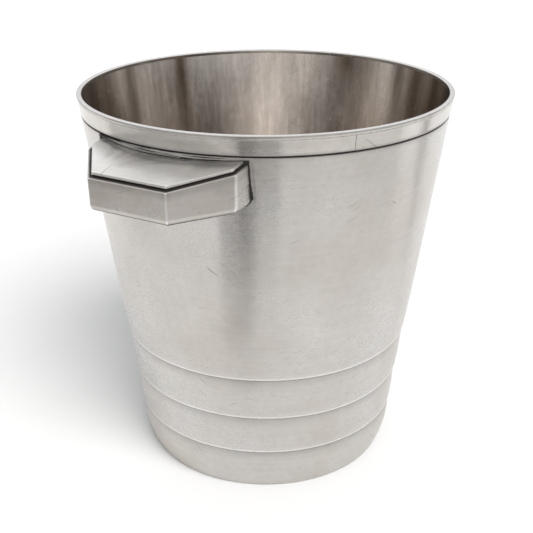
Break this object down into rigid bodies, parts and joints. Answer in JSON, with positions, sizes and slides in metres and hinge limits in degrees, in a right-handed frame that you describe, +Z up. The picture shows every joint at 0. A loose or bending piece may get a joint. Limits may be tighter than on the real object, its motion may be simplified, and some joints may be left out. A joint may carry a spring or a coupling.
{
  "type": "champagne bucket",
  "caption": "Tapered silver-plated champagne bucket with a stepped foot, a banded rim and two five-sided lug handles.",
  "frame": {"origin": "centre of the circle that the foot ring stands on", "axes": "+Z up along the bucket's axis, X through the middles of the two handles, +X towards handle_right"},
  "size_m": [0.2486, 0.2, 0.2093],
  "materials": {
    "body_silver": "satin silver plate, finely brushed round the body, browner inside",
    "foot_silver": "satin silver plate, a little duller",
    "band_silver": "polished silver plate, brushed along the band",
    "wire_silver": "bright worn silver plate",
    "handle_silver": "satin silver plate with darker grime at the joints",
    "plate_silver": "smooth silver plate, slightly grey-green"
  },
  "bodies": {
    "root": {"body_shell": "body_silver", "foot_ring": "foot_silver", "rim_band": "band_silver", "rim_wire": "wire_silver", "handle_left_shell": "handle_silver", "handle_left_plate": "plate_silver", "handle_right_shell": "handle_silver", "handle_right_plate": "plate_silver"}
  },
  "joints": []
}
